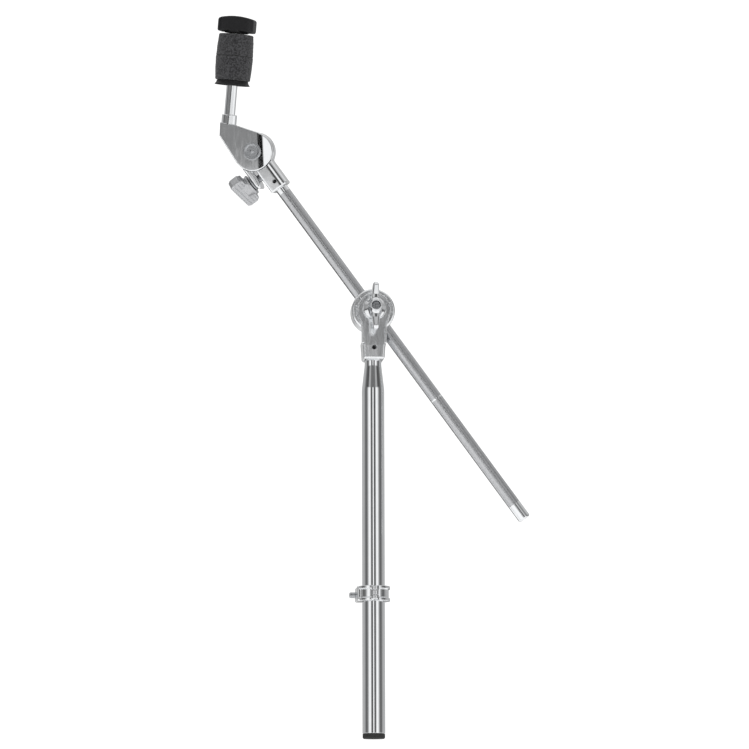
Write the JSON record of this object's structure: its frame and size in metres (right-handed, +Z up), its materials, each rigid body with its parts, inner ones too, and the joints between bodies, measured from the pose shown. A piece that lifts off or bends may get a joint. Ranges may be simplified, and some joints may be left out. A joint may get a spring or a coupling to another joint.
{
  "type": "cymbal boom stand",
  "caption": "Clamp-mounted cymbal boom holder: a round post with a memory lock, a sliding and swinging boom arm, and a tilting cymbal seat with felts and a nut.",
  "frame": {"origin": "centre of the underside of the post's foot, on the post's axis", "axes": "+Z up the post, +X towards the low end of the boom, -Y on the side of the clamp's wing nut"},
  "size_m": [0.3125, 0.0718, 0.7135],
  "materials": {
    "chrome": "polished chrome plate on steel tube and zinc castings",
    "knurled_chrome": "finely knurled chromed steel with plain polished ends",
    "steel": "zinc-plated steel",
    "black_plastic": "moulded black nylon",
    "rubber": "matt black rubber",
    "felt": "pressed dark grey wool felt",
    "brass": "plain turned brass"
  },
  "bodies": {
    "post": {"post_tube": "chrome", "post_tip": "rubber", "post_head": "chrome", "head_screw": "steel", "clamp_washer": "steel"},
    "memory_lock": {"lock_band_left": "chrome", "lock_hinge_pin": "steel"},
    "lock_gate": {"lock_band_right": "chrome"},
    "lock_screw": {"lock_screw": "steel"},
    "holder": {"boom_holder": "chrome", "eye_bolt": "steel"},
    "clamp_wing": {"clamp_wing_nut": "chrome"},
    "boom": {"boom_arm": "knurled_chrome"},
    "tilter_base": {"tilter_base": "chrome", "base_screw": "steel", "clutch_ring": "brass", "wing_bolt_washer": "steel"},
    "wing_bolt": {"tilter_wing_bolt": "chrome"},
    "tilter_arm": {"tilter_arm": "chrome", "tilter_rod": "chrome", "seat_washer": "black_plastic", "cymbal_sleeve": "black_plastic", "pivot_bolt": "chrome", "pivot_washer": "steel", "pivot_nut": "steel"},
    "lower_felt": {"lower_felt": "felt"},
    "upper_felt": {"upper_felt": "felt"},
    "top_nut": {"top_nut": "black_plastic", "nut_insert": "brass"}
  },
  "joints": [
    {"name": "lock_slide", "type": "slide", "parent": "post", "child": "memory_lock", "axis": [0, 0, 1], "range_m": [-0.125, 0.19]},
    {"name": "lock_open", "type": "hinge", "parent": "memory_lock", "child": "lock_gate", "pos_m": [0, -0.0156, 0.14], "axis": [0, 0, -1], "range_deg": [0, 40]},
    {"name": "lock_screw_turn", "type": "hinge", "parent": "memory_lock", "child": "lock_screw", "pos_m": [0, 0.0154, 0.14], "axis": [1, 0, 0], "range_deg": [-360, 45]},
    {"name": "boom_tilt", "type": "hinge", "parent": "post", "child": "holder", "pos_m": [0, 0, 0.4196], "axis": [0, -1, 0], "range_deg": [-3, 110]},
    {"name": "clamp_wing_turn", "type": "hinge", "parent": "holder", "child": "clamp_wing", "pos_m": [0, -0.02, 0.4196], "axis": [0, 1, 0], "range_deg": [-360, 45]},
    {"name": "boom_slide", "type": "slide", "parent": "holder", "child": "boom", "axis": [-0.5906, 0, 0.807], "range_m": [-0.09, 0.22]},
    {"name": "head_roll", "type": "hinge", "parent": "boom", "child": "tilter_base", "pos_m": [-0.11741, 0.003, 0.58002], "axis": [-0.5906, 0, 0.807], "range_deg": [-90, 90]},
    {"name": "wing_bolt_turn", "type": "hinge", "parent": "tilter_base", "child": "wing_bolt", "pos_m": [-0.11904, 0.01018, 0.54884], "axis": [0.7583, -0.342, 0.555], "range_deg": [-360, 45]},
    {"name": "tilter_tilt", "type": "hinge", "parent": "tilter_base", "child": "tilter_arm", "pos_m": [-0.11741, 0.003, 0.58002], "axis": [0.276, 0.9397, 0.202], "range_deg": [-30, 90]},
    {"name": "lower_felt_turn", "type": "hinge", "parent": "tilter_arm", "child": "lower_felt", "pos_m": [-0.13963, -0.01181, 0.66048], "axis": [0.0685, -0.2289, 0.971], "continuous": true},
    {"name": "upper_felt_lift", "type": "slide", "parent": "tilter_arm", "child": "upper_felt", "axis": [0.0685, -0.2289, 0.971], "range_m": [0, 0.0126]},
    {"name": "top_nut_turn", "type": "hinge", "parent": "upper_felt", "child": "top_nut", "pos_m": [-0.13963, -0.01181, 0.66048], "axis": [0.0685, -0.2289, 0.971], "range_deg": [0, 3600]}
  ],
  "couplings": [
    {"joint": "upper_felt_lift", "follows": "top_nut_turn", "m_per_rad": 0.00019894}
  ]
}
